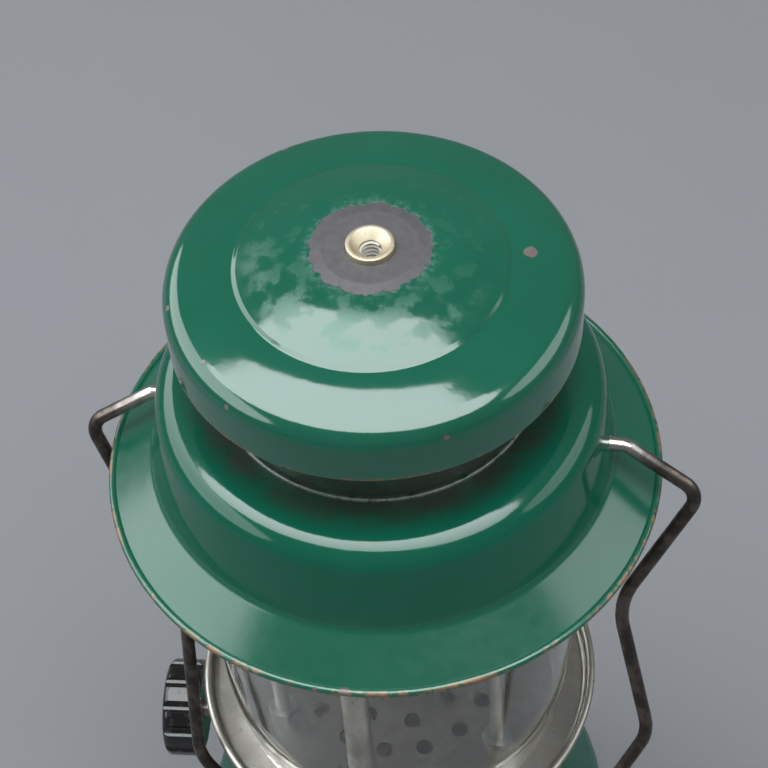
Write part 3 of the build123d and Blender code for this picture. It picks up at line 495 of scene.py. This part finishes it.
def turning_tree():
    """Turns the object's own closed section, with its corner radii in the attribute bend, about Z."""
    tree = bpy.data.node_groups.new("turned_piece", "GeometryNodeTree")
    input_socket(tree, "Section", "NodeSocketGeometry")
    input_socket(tree, "Steps Round", "NodeSocketInt", STEPS_ROUND)
    input_socket(tree, "Steps in a Corner", "NodeSocketInt", 8)
    input_socket(tree, "Finish", "NodeSocketMaterial")
    tree.interface.new_socket("Piece", in_out="OUTPUT", socket_type="NodeSocketGeometry")
    given = put(tree, "NodeGroupInput").outputs
    bend = bend_of(tree)
    line = put(tree, "GeometryNodeMeshToCurve", Mesh=given["Section"]).outputs["Curve"]
    fillet = put(tree, "GeometryNodeFilletCurve", {"mode": "POLY"}, Curve=line, Radius=bend)
    fillet.inputs["Limit Radius"].default_value = True
    tree.links.new(given["Steps in a Corner"], fillet.inputs["Count"])
    points = put(tree, "GeometryNodeCurveToMesh", Curve=fillet.outputs["Curve"]).outputs["Mesh"]
    count = put(tree, "GeometryNodeAttributeDomainSize", Geometry=points).outputs["Point Count"]
    columns = sums(tree, "ADD", given["Steps Round"], 1.0)
    rows = sums(tree, "ADD", count, 1.0)
    grid = put(tree, "GeometryNodeMeshGrid", Size_X=1.0, Size_Y=1.0, Vertices_X=columns, Vertices_Y=rows)
    place = put(tree, "ShaderNodeSeparateXYZ", Vector=put(tree, "GeometryNodeInputPosition").outputs[0])
    across = sums(tree, "ADD", place.outputs["X"], 0.5)
    along = sums(tree, "ADD", place.outputs["Y"], 0.5)
    row = sums(tree, "ROUND", sums(tree, "MULTIPLY", along, count))
    row = sums(tree, "FLOORED_MODULO", row, count)
    sample = put(tree, "GeometryNodeSampleIndex", {"data_type": "FLOAT_VECTOR"}, Geometry=points, Index=row)
    tree.links.new(put(tree, "GeometryNodeInputPosition").outputs[0], sample.inputs["Value"])
    section = put(tree, "ShaderNodeSeparateXYZ", Vector=sample.outputs["Value"])
    angle = sums(tree, "MULTIPLY", across, 2 * pi)
    x = sums(tree, "MULTIPLY", section.outputs["X"], sums(tree, "COSINE", angle))
    y = sums(tree, "MULTIPLY", section.outputs["X"], sums(tree, "SINE", angle))
    spot = put(tree, "ShaderNodeCombineXYZ", X=x, Y=y, Z=section.outputs["Z"]).outputs[0]
    moved = put(tree, "GeometryNodeSetPosition", Geometry=grid.outputs["Mesh"], Position=spot).outputs[0]
    closed = put(tree, "GeometryNodeMergeByDistance", Geometry=moved, Distance=SAME_POINT).outputs[0]
    close_tree(tree, closed, given["Finish"])
    return tree


TURNING = turning_tree()


def made_plain(obj, name):
    """The evaluated object as a new plain mesh object at the origin; the first one is removed."""
    shape = bpy.data.meshes.new_from_object(obj.evaluated_get(bpy.context.evaluated_depsgraph_get()))
    shape.name = name
    old = obj.data
    bpy.data.objects.remove(obj)
    if old.users == 0:
        bpy.data.meshes.remove(old)
    piece = bpy.data.objects.new(name, shape)
    scene.collection.objects.link(piece)
    return piece


def grown(name, source, tree, values):
    """Runs a tree on a mesh or curve, and returns the plain result."""
    obj = bpy.data.objects.new(name + "_source", source)
    scene.collection.objects.link(obj)
    modifier = obj.modifiers.new("tree", "NODES")
    modifier.node_group = tree
    for item in tree.interface.items_tree:
        if item.item_type == "SOCKET" and item.in_out == "INPUT" and item.name in values:
            modifier[item.identifier] = values[item.name]
    bpy.context.view_layer.update()
    return made_plain(obj, name)


def smooth(piece, angle=SMOOTH_ANGLE):
    """Outward normals, and smooth shading up to an angle."""
    shape = bmesh.new()
    shape.from_mesh(piece.data)
    bmesh.ops.remove_doubles(shape, verts=shape.verts, dist=1e-6)
    bmesh.ops.dissolve_degenerate(shape, edges=shape.edges, dist=1e-7)
    bmesh.ops.recalc_face_normals(shape, faces=shape.faces)
    shape.to_mesh(piece.data)
    shape.free()
    piece.data.shade_smooth()
    piece.data.set_sharp_from_angle(angle=radians(angle))
    return piece


def section_mesh(name, corners, bends):
    """A closed half section of corners (radius, height) in millimetres, with their corner radii."""
    shape = bpy.data.meshes.new(name + "_section")
    count = len(corners)
    sides = [(i, (i + 1) % count) for i in range(count)]
    shape.from_pydata([(r * MM, 0, z * MM) for r, z in corners], sides, [])
    attribute = shape.attributes.new("bend", "FLOAT", "POINT")
    attribute.data.foreach_set("value", [b * MM for b in bends])
    return shape


def turned(name, corners, bends, finish, steps=STEPS_ROUND, corner_steps=8):
    """A turned piece from its closed half section."""
    values = {"Steps Round": steps, "Steps in a Corner": corner_steps, "Finish": finish}
    return smooth(grown(name, section_mesh(name, corners, bends), TURNING, values))


def sheet_section(corners, bends, thickness):
    """The closed section of a pressed sheet: its outside is the run of corners, the sheet is on the left."""
    points = [Vector(c) for c in corners]
    ways = [(b - a).normalized() for a, b in zip(points, points[1:])]
    sides = [Vector((-w.y, w.x)) for w in ways]
    inner = []
    for number, point in enumerate(points):
        before, after = sides[max(number - 1, 0)], sides[min(number, len(sides) - 1)]
        inner.append(point + (before + after) * (thickness / (1 + before.dot(after))))
    turns = [a.x * b.y - a.y * b.x for a, b in zip(ways, ways[1:])]
    inner_bends = []
    for bend, turn in zip(bends, turns):
        inner_bends.append(max(bend - thickness, thickness / 2) if turn > 0 else bend + thickness)
    loop = [tuple(p) for p in points] + [tuple(p) for p in reversed(inner)]
    return loop, [0, *bends, 0, 0, *reversed(inner_bends), 0]


print("tree", TURNING.name, "with", len(TURNING.nodes), "nodes")

# %% [markdown]
# The hood's body and cap repeat the sizes of the part's source. The drum between them stays the packed
# node. The body ends in a wired bead round the brim, and its two bail holes are cut by a Boolean, because
# no turned section can hold them. A thin bead covers the seam where the deck meets the drum.

# %% Ventilator pressings
SHEET = 0.9
BRIM_BEAD_R = 1.1
SEAM = 0.1
PIVOT_Z = HOOD_Z + 18.0
HOLE_R = 2.25
DRILL_L = 140.0
BRIM_RISE = 11.0
BRIM_CORNER = 4.0
WALL_FOOT_R = 62.5
WALL_TOP_R = 58.5
DECK_RISE = DECK_Z - HOOD_Z
DECK_CORNER = 8.0
HOOD_STEPS = 256
CORNER_STEPS = 12
BEAD_STEPS = 12
SEAM_BEAD_R = 0.5


def hood(points):
    return [(r, HOOD_Z + z) for r, z in points]


def joined(first, *others):
    """One mesh from several."""
    shape = bmesh.new()
    for piece in (first, *others):
        shape.from_mesh(piece.data)
    shape.to_mesh(first.data)
    shape.free()
    for piece in others:
        bpy.data.objects.remove(piece)
    return first


def bead(name, radius, height, thickness, steps):
    """A round bead about the axis; thickness is its own radius."""
    turns = [2 * pi * i / BEAD_STEPS for i in range(BEAD_STEPS)]
    loop = [(radius + thickness * cos(t), height + thickness * sin(t)) for t in turns]
    return turned(name, loop, [0] * BEAD_STEPS, ENAMEL, steps, 1)


body_line = hood([(BRIM_R - BRIM_BEAD_R, BRIM_BEAD_R), (WALL_FOOT_R, BRIM_RISE), (WALL_TOP_R, DECK_RISE),
                  (DRUM_R + SEAM, DECK_RISE)])
body_section = sheet_section(body_line, [BRIM_CORNER, DECK_CORNER], SHEET)
hood_body = turned("hood_body", *body_section, ENAMEL, HOOD_STEPS, CORNER_STEPS)
hole_mesh = bpy.data.meshes.new("bail_hole")
drill = bmesh.new()
place = Matrix.Translation((0, 0, PIVOT_Z * MM)) @ Matrix.Rotation(radians(90), 4, "Y")
bmesh.ops.create_cone(drill, cap_ends=True, segments=32, radius1=HOLE_R * MM, radius2=HOLE_R * MM,
                      depth=DRILL_L * MM, matrix=place)
drill.to_mesh(hole_mesh)
drill.free()
hole = bpy.data.objects.new("bail_hole", hole_mesh)
scene.collection.objects.link(hole)
cut = hood_body.modifiers.new("holes", "BOOLEAN")
cut.operation = "DIFFERENCE"
cut.solver = "EXACT"
cut.object = hole
bpy.context.view_layer.update()
hood_body = made_plain(hood_body, "hood_body")
bpy.data.objects.remove(hole)
hood_bead = bead("hood_bead", BRIM_R - BRIM_BEAD_R, HOOD_Z + BRIM_BEAD_R, BRIM_BEAD_R, HOOD_STEPS)
seam_bead = bead("seam_bead", DRUM_R + SEAM + SEAM_BEAD_R, DECK_Z + SEAM, SEAM_BEAD_R, STEPS_ROUND)
hood_body = joined(hood_body, hood_bead, seam_bead)
hood_body.data.shade_smooth()
hood_body.data.set_sharp_from_angle(angle=radians(SMOOTH_ANGLE))

CAP_R = 52.4
SKIRT_UP = CAP_EDGE_Z - HOOD_Z
CAP_EDGE_UP = 75.9
STEP = (38.5, 79.4)
PANEL_FOOT = (34.5, 79.6)
PANEL = (33.4, 80.3)
DOME = (22.0, 84.4)
SEAT_R = 12.0
SEAT_UP = 85.4
BUSH_R = 6.1
CAP_BENDS = [6.5, 30.0, 1.2, 1.2, 38.0, 1.2]
cap_line = hood([(CAP_R, SKIRT_UP), (CAP_R, CAP_EDGE_UP), STEP, PANEL_FOOT, PANEL, DOME, (SEAT_R, SEAT_UP),
                 (BUSH_R + SEAM, SEAT_UP)])
cap_section = sheet_section(cap_line, CAP_BENDS, SHEET)
hood_cap = turned("hood_cap", *cap_section, ENAMEL, HOOD_STEPS, CORNER_STEPS)
for piece, node in ((hood_body, "ventilator_body"), (hood_cap, "ventilator_cap")):
    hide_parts(node)
    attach(piece, "lantern")
    print(piece.name, len(piece.data.polygons), "faces")

# %% [markdown]
# The bush in the middle is turned brass with a countersunk mouth. The photograph shows its thread, so the
# thread is real here: a spiral, swept with a small four-sided section by a second tree and set into the
# hole's wall.

# %% Bush and its thread
BUSH_STAND = 1.6
BUSH_TOP = HOOD_Z + SEAT_UP + BUSH_STAND
MOUTH_R = 5.0
MOUTH_DEPTH = 2.2
THREAD_TOP = BUSH_TOP - MOUTH_DEPTH
THREAD_R = 2.75
THREAD_L = 10.0
PITCH = 1.27
RIDGE = 0.42
FLANGE_R = 10.5
FLANGE_T = 2.5
FLOOR_T = 2.0
POST_SOCKET = 8.0
SOCKET_R = 3.1
POLE_R = 0.001
BUSH_STEPS = 96
THREAD_ANGLE = 60


def thread_tree():
    """A spiral ridge: its radius, pitch, turns, thickness and foot are inputs."""
    tree = bpy.data.node_groups.new("thread_ridge", "GeometryNodeTree")
    for name, kind, default in (("Base", "NodeSocketGeometry", None), ("Radius", "NodeSocketFloat", 0.003),
                                ("Pitch", "NodeSocketFloat", 0.001), ("Turns", "NodeSocketFloat", 5.0),
                                ("Ridge", "NodeSocketFloat", 0.0004), ("Foot", "NodeSocketVector", None),
                                ("Finish", "NodeSocketMaterial", None)):
        input_socket(tree, name, kind, default)
    tree.interface.new_socket("Piece", in_out="OUTPUT", socket_type="NodeSocketGeometry")
    given = put(tree, "NodeGroupInput").outputs
    height = sums(tree, "MULTIPLY", given["Pitch"], given["Turns"])
    spiral = put(tree, "GeometryNodeCurveSpiral", Resolution=36, Rotations=given["Turns"],
                 Start_Radius=given["Radius"], End_Radius=given["Radius"], Height=height)
    section = put(tree, "GeometryNodeCurvePrimitiveCircle", Resolution=4, Radius=given["Ridge"])
    ridge = put(tree, "GeometryNodeCurveToMesh", Curve=spiral.outputs["Curve"],
                Profile_Curve=section.outputs["Curve"], Fill_Caps=True).outputs["Mesh"]
    moved = put(tree, "GeometryNodeTransform", Geometry=ridge, Translation=given["Foot"]).outputs["Geometry"]
    close_tree(tree, moved, given["Finish"])
    return tree


THREADS = thread_tree()


def thread(name, radius, pitch, turns, ridge, foot, finish):
    """A spiral ridge as a plain mesh, with its spiral starting level with foot; sizes in millimetres."""
    values = {"Radius": radius * MM, "Pitch": pitch * MM, "Turns": turns, "Ridge": ridge * MM,
              "Foot": [x * MM for x in foot], "Finish": finish}
    return smooth(grown(name, bpy.data.meshes.new(name), THREADS, values), THREAD_ANGLE)


flange_top = HOOD_Z + SEAT_UP - SHEET
flange_low = flange_top - FLANGE_T
thread_low = THREAD_TOP - THREAD_L
socket_top = thread_low - FLOOR_T
low = socket_top - POST_SOCKET
bush_line = [(THREAD_R, THREAD_TOP), (MOUTH_R, BUSH_TOP), (BUSH_R, BUSH_TOP), (BUSH_R, flange_top),
             (FLANGE_R, flange_top), (FLANGE_R, flange_low), (BUSH_R, flange_low), (BUSH_R, low),
             (SOCKET_R, low), (SOCKET_R, socket_top), (POLE_R, socket_top), (POLE_R, thread_low),
             (THREAD_R, thread_low)]
bush_bends = [0.2, 0.4, 0.4, 0, 0.3, 0.3, 0, 0.3, 0, 0, 0, 0, 0]
bush = turned("tapped_bush", bush_line, bush_bends, PALE_BRASS, BUSH_STEPS, 4)
turns = (THREAD_L - PITCH) / PITCH
thread_foot = (0, 0, thread_low + PITCH / 2)
bush = joined(bush, thread("bush_thread", THREAD_R, PITCH, turns, RIDGE, thread_foot, PALE_BRASS))
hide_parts("vent_bushing")
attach(bush, "lantern")
print("thread turns", round(turns, 1), "faces", len(bush.data.polygons))

# %% [markdown]
# The globe is clear glass, drawn in at both ends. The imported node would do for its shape, but its facets
# would break up the refraction, so it is turned again with many steps.

# %% Globe
PLATE_Z = 138.0
GLOBE_R = 54.0
GLOBE_END_R = 51.0
GLOBE_H = 119.0
GLOBE_GLASS = 2.0
GLOBE_SHOULDER = 18.0
GLOBE_CORNER = 40.0
globe_line = [(GLOBE_END_R, PLATE_Z), (GLOBE_R, PLATE_Z + GLOBE_SHOULDER),
              (GLOBE_R, PLATE_Z + GLOBE_H - GLOBE_SHOULDER), (GLOBE_END_R, PLATE_Z + GLOBE_H)]
globe_section = sheet_section(globe_line, [GLOBE_CORNER, GLOBE_CORNER], GLOBE_GLASS)
globe = turned("glass_globe", *globe_section, GLASS, STEPS_ROUND, CORNER_STEPS)
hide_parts("globe")
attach(globe, "lantern")
print("globe", len(globe.data.polygons), "faces")

# %% [markdown]
# The bail is one length of wire, bent by hand. Its corners, in the flat of the bail, are the same as in
# the part's source. A tree rounds each corner by its own radius and sweeps a circle along the line.

# %% Bail
def wire_tree():
    """Sweeps a round wire along the object's own line, with each corner rounded by the attribute bend."""
    tree = bpy.data.node_groups.new("bent_wire", "GeometryNodeTree")
    input_socket(tree, "Line", "NodeSocketGeometry")
    input_socket(tree, "Wire Radius", "NodeSocketFloat", 0.002)
    input_socket(tree, "Finish", "NodeSocketMaterial")
    tree.interface.new_socket("Piece", in_out="OUTPUT", socket_type="NodeSocketGeometry")
    given = put(tree, "NodeGroupInput").outputs
    bend = bend_of(tree)
    line = put(tree, "GeometryNodeMeshToCurve", Mesh=given["Line"]).outputs["Curve"]
    fillet = put(tree, "GeometryNodeFilletCurve", {"mode": "POLY"}, Curve=line, Radius=bend, Count=14)
    fillet.inputs["Limit Radius"].default_value = True
    section = put(tree, "GeometryNodeCurvePrimitiveCircle", Resolution=20, Radius=given["Wire Radius"])
    wire = put(tree, "GeometryNodeCurveToMesh", Curve=fillet.outputs["Curve"],
               Profile_Curve=section.outputs["Curve"], Fill_Caps=True).outputs["Mesh"]
    close_tree(tree, wire, given["Finish"])
    return tree


WIRE_R = 1.95
BAIL_SLIDE = 1.0
BAIL_DROP = 163.0
BAIL_END = 51.0
BAIL_OUT = 64.5
COLLAR_R = 46.0
FREE = 0.3
BAIL_REST = asin((COLLAR_R + FREE + WIRE_R) / BAIL_DROP)
BAIL_RIGHT = [(85.5, 13.0), (66.5, 54.0), (79.0, 101.0), (54.0, BAIL_DROP)]
BAIL_LEFT = [(-83.5, 13.0), (-59.5, 68.0), (-57.0, 136.0), (-34.0, BAIL_DROP)]
BAIL_END_CORNER = 4.0
BAIL_RIGHT_CORNERS = [6.0, 24.0, 16.0, 34.0]
BAIL_LEFT_CORNERS = [6.0, 24.0, 16.0, 20.0]
BAIL_ANGLE = 50
right_leg = [(BAIL_END, 0), (BAIL_OUT, 0), *BAIL_RIGHT]
left_leg = [(-BAIL_END, 0), (-BAIL_OUT, 0), *BAIL_LEFT]
right_bends = [0, BAIL_END_CORNER, *BAIL_RIGHT_CORNERS]
left_bends = [0, BAIL_END_CORNER, *BAIL_LEFT_CORNERS]
flat_line = right_leg + left_leg[::-1]
bail_mesh = bpy.data.meshes.new("bail_line")
bail_points = []
for across, down in flat_line:
    spot = Vector((BAIL_SLIDE + across, -down * sin(BAIL_REST), PIVOT_Z - down * cos(BAIL_REST)))
    bail_points.append(spot * MM)
bail_mesh.from_pydata(bail_points, [(i, i + 1) for i in range(len(bail_points) - 1)], [])
bends = bail_mesh.attributes.new("bend", "FLOAT", "POINT")
bends.data.foreach_set("value", [b * MM for b in right_bends + left_bends[::-1]])
wire_values = {"Wire Radius": WIRE_R * MM, "Finish": WIRE}
bail_wire = smooth(grown("bail_wire", bail_mesh, wire_tree(), wire_values), BAIL_ANGLE)
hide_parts("bail")
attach(bail_wire, "bail")
print("bail", len(bail_wire.data.polygons), "faces, rests at", round(BAIL_REST * 180 / pi, 1), "degrees")

# %% [markdown]
# The mantle is a small knitted bag, tied in the groove of the burner cap. It is gathered in pleats under
# the tie and again at its foot, and hangs as a round bag between. Each ring of the bag has a radius, a
# height and how deep its pleats are, and the rings near the foot have fewer pleats. A slow wander keeps
# the pleats uneven. The tie is two strands laid round each other in a ring.

# %% Mantle and its tie
MANTLE_LINE = [
    (10.95, 231.6, 0.25), (10.95, 230.2, 0.25), (12.75, 228.8, 0.30), (12.85, 225.2, 0.45),
    (14.2, 221.0, 0.6), (16.2, 216.0, 0.6), (17.9, 211.0, 0.45), (19.0, 205.5, 0.3),
    (19.1, 199.0, 0.2), (18.6, 193.0, 0.25), (17.3, 187.0, 0.4), (14.9, 181.6, 0.6),
    (11.6, 177.4, 0.7), (7.4, 174.4, 0.5), (3.2, 173.2, 0.2), (0.4, 172.9, 0.0),
]
FIRST_FOOT_RING = 9
WANDER = ((0.25, 3, 0.7), (0.15, 7, -1.0))
WANDER_SHARE = 0.12
NECK_PLEATS = 22
FOOT_PLEATS = 15
MANTLE_STEPS = 176
BAG_ANGLE = 70
CORD_ANGLE = 60


def mantle_bag():
    """The bag as one layer of cloth."""
    shape = bmesh.new()
    rings = []
    for number, (radius, height, pleat) in enumerate(MANTLE_LINE):
        count = NECK_PLEATS if number < FIRST_FOOT_RING else FOOT_PLEATS
        ring = []
        for step in range(MANTLE_STEPS):
            angle = 2 * pi * step / MANTLE_STEPS
            wander = sum(size * sin(waves * angle + shift * number) for size, waves, shift in WANDER)
            out = radius + pleat * sin(count * angle + wander) + WANDER_SHARE * wander * pleat
            ring.append(shape.verts.new((out * cos(angle) * MM, out * sin(angle) * MM, height * MM)))
        rings.append(ring)
    for upper, lower in zip(rings, rings[1:]):
        for step in range(MANTLE_STEPS):
            after = (step + 1) % MANTLE_STEPS
            shape.faces.new((upper[step], lower[step], lower[after], upper[after]))
    shape.faces.new(rings[-1][::-1])
    mesh = bpy.data.meshes.new("mantle_bag")
    shape.to_mesh(mesh)
    shape.free()
    mesh.materials.append(MANTLE_CLOTH)
    piece = bpy.data.objects.new("mantle_bag", mesh)
    scene.collection.objects.link(piece)
    return smooth(piece, BAG_ANGLE)


TIE_R = 11.8
TIE_Z = 231.0
STRAND_R = 0.34
TIE_TWISTS = 40
STEPS_A_TWIST = 10


def mantle_cord():
    """Two strands laid round each other in a closed ring."""
    lines = bpy.data.curves.new("mantle_cord", "CURVE")
    lines.dimensions = "3D"
    lines.bevel_depth = STRAND_R * MM
    lines.bevel_resolution = 2
    for phase in (0, pi):
        strand = lines.splines.new("POLY")
        count = TIE_TWISTS * STEPS_A_TWIST
        strand.points.add(count - 1)
        for step, point in enumerate(strand.points):
            angle = 2 * pi * step / count
            twist = TIE_TWISTS * angle + phase
            radius = TIE_R + STRAND_R * cos(twist)
            height = TIE_Z + STRAND_R * sin(twist)
            point.co = (radius * cos(angle) * MM, radius * sin(angle) * MM, height * MM, 1)
        strand.use_cyclic_u = True
    lines.materials.append(MANTLE_CLOTH)
    holder = bpy.data.objects.new("mantle_cord_line", lines)
    scene.collection.objects.link(holder)
    bpy.context.view_layer.update()
    shape = bpy.data.meshes.new_from_object(holder)
    bpy.data.objects.remove(holder)
    piece = bpy.data.objects.new("mantle_cord", shape)
    scene.collection.objects.link(piece)
    return smooth(piece, CORD_ANGLE)


bag = mantle_bag()
bag_area = sum(face.area for face in bag.data.polygons)
cord = mantle_cord()
for piece, node in ((bag, "mantle"), (cord, "mantle_tie")):
    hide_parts(node)
    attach(piece, "lantern")
print("mantle area", round(bag_area * 1e6), "square mm, faces", len(bag.data.polygons))
